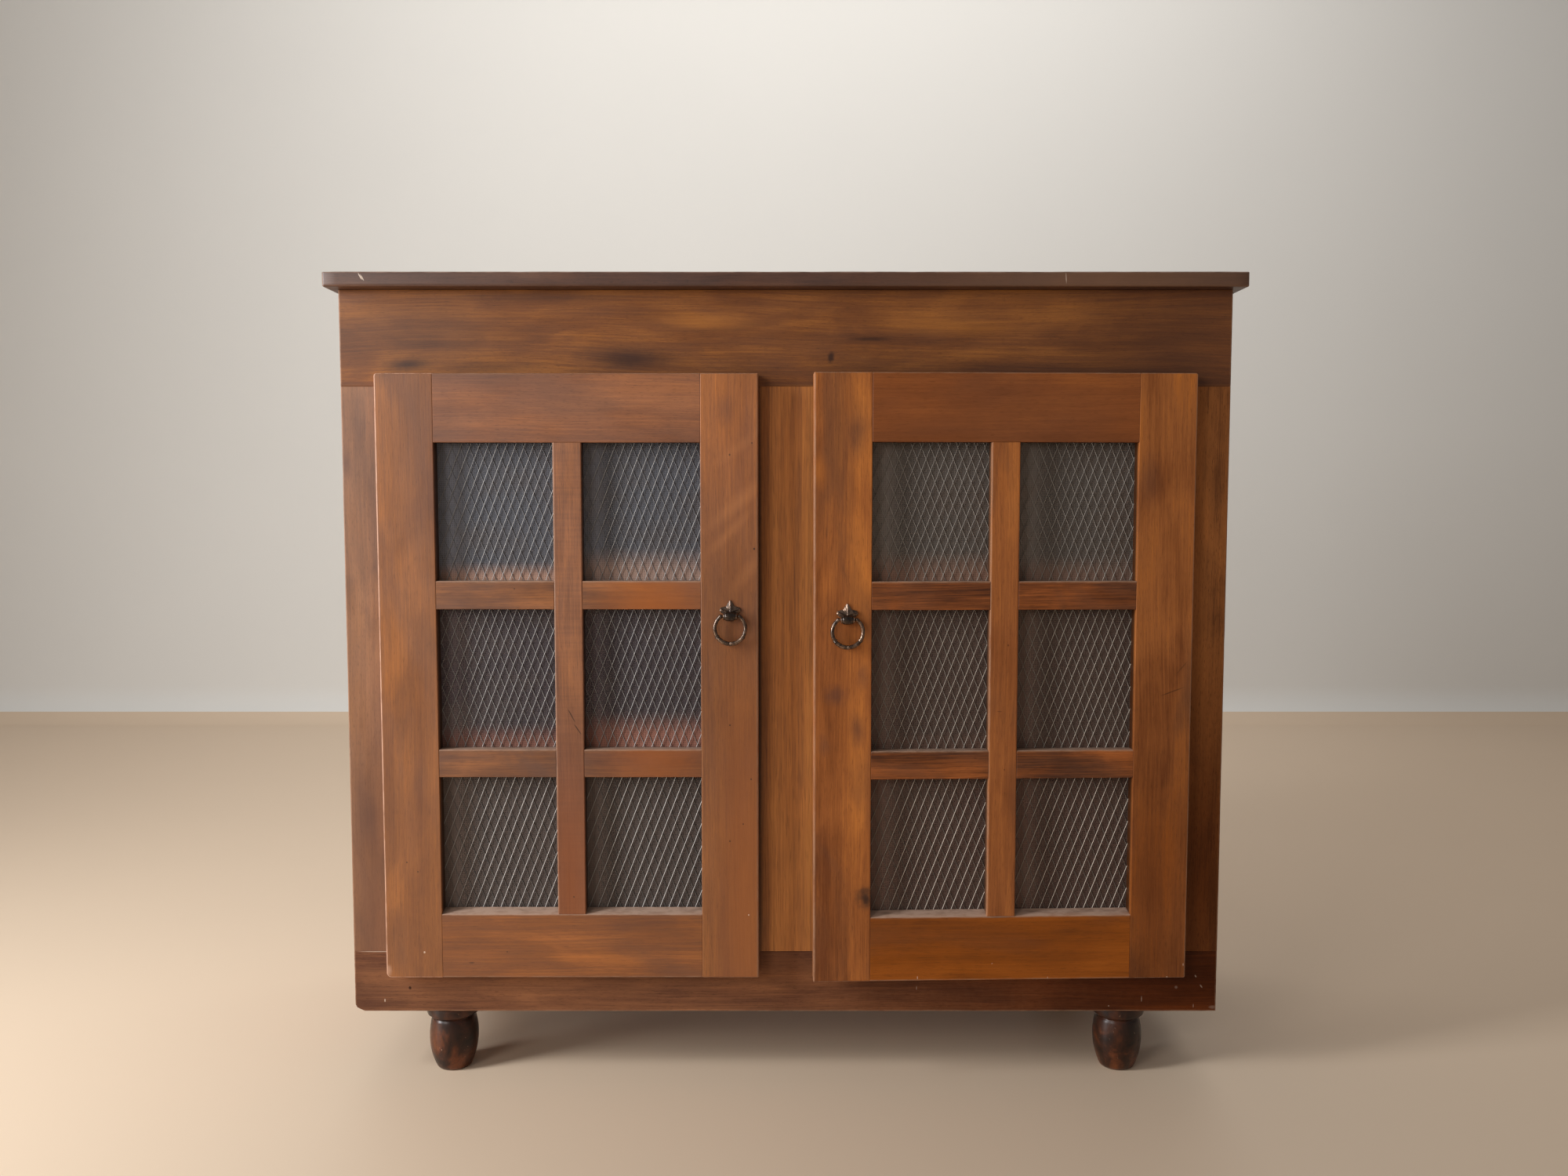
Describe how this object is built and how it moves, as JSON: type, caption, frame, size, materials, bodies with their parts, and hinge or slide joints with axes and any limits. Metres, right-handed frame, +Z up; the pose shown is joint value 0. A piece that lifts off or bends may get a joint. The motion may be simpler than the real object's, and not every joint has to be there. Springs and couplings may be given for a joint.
{
  "type": "mesh cupboard",
  "caption": "Two-door wooden cupboard on turned feet, with diamond mesh door panels, ring handles and shelves.",
  "frame": {"origin": "on the floor, in the middle of the box round the whole cupboard", "axes": "+X to the right along the front, +Y towards the back, +Z up; the doors face -Y"},
  "size_m": [1.1254, 0.4496, 1.012],
  "materials": {
    "top_wood": "dark brown stained wood, worn satin polish",
    "case_wood": "reddish brown stained wood, satin polish",
    "door_wood": "warm brown stained wood, satin polish, worn edges",
    "inner_wood": "planed wood, thin matt stain",
    "foot_wood": "turned wood, dark gloss polish",
    "mesh_wire": "dull galvanised wire",
    "fly_screen": "dark fine gauze",
    "handle_iron": "dark antique finish",
    "hinge_steel": "dull steel",
    "catch_plastic": "brown moulded case"
  },
  "bodies": {
    "carcass": {"top_board": "top_wood", "left_side_panel": "case_wood", "right_side_panel": "case_wood", "bottom_board": "inner_wood", "back_boards": "inner_wood", "back_top_rail": "inner_wood", "back_bottom_rail": "inner_wood", "frieze_rail": "case_wood", "base_rail": "case_wood", "left_outer_stile": "case_wood", "right_outer_stile": "case_wood", "centre_stile": "case_wood", "upper_shelf": "inner_wood", "lower_shelf": "inner_wood", "shelf_battens": "inner_wood", "top_battens": "inner_wood", "foot_bearers": "inner_wood", "front_left_foot": "foot_wood", "front_right_foot": "foot_wood", "rear_left_foot": "foot_wood", "rear_right_foot": "foot_wood", "frame_hinge_leaves": "hinge_steel", "hinge_pins": "hinge_steel", "frame_hinge_screws": "hinge_steel", "catch_magnets": "catch_plastic"},
    "left_door": {"left_hinge_stile": "door_wood", "left_lock_stile": "door_wood", "left_door_top_rail": "door_wood", "left_door_bottom_rail": "door_wood", "left_muntin": "door_wood", "left_cross_bars": "door_wood", "left_rising_wires": "mesh_wire", "left_falling_wires": "mesh_wire", "left_fly_screen": "fly_screen", "left_beads": "door_wood", "left_hinge_leaves": "hinge_steel", "left_hinge_screws": "hinge_steel", "left_rosette": "handle_iron", "left_handle_nut": "handle_iron", "left_catch_strike": "hinge_steel"},
    "left_ring": {"left_ring": "handle_iron"},
    "right_door": {"right_hinge_stile": "door_wood", "right_lock_stile": "door_wood", "right_door_top_rail": "door_wood", "right_door_bottom_rail": "door_wood", "right_muntin": "door_wood", "right_cross_bars": "door_wood", "right_rising_wires": "mesh_wire", "right_falling_wires": "mesh_wire", "right_fly_screen": "fly_screen", "right_beads": "door_wood", "right_hinge_leaves": "hinge_steel", "right_hinge_screws": "hinge_steel", "right_rosette": "handle_iron", "right_handle_nut": "handle_iron", "right_catch_strike": "hinge_steel"},
    "right_ring": {"right_ring": "handle_iron"}
  },
  "joints": [
    {"name": "left_door_hinge", "type": "hinge", "parent": "carcass", "child": "left_door", "pos_m": [-0.503, -0.17898, 0.513], "axis": [0, 0, -1], "range_deg": [0, 100]},
    {"name": "right_door_hinge", "type": "hinge", "parent": "carcass", "child": "right_door", "pos_m": [0.503, -0.17898, 0.513], "axis": [0, 0, 1], "range_deg": [-1.8, 98.2]},
    {"name": "left_ring_hinge", "type": "hinge", "parent": "left_door", "child": "left_ring", "pos_m": [-0.0681, -0.20538, 0.5934], "axis": [-1, 0, 0], "range_deg": [-6, 165]},
    {"name": "right_ring_hinge", "type": "hinge", "parent": "right_door", "child": "right_ring", "pos_m": [0.07554, -0.21882, 0.5904], "axis": [-0.9995, -0.0314, 0], "range_deg": [-6, 165]}
  ]
}
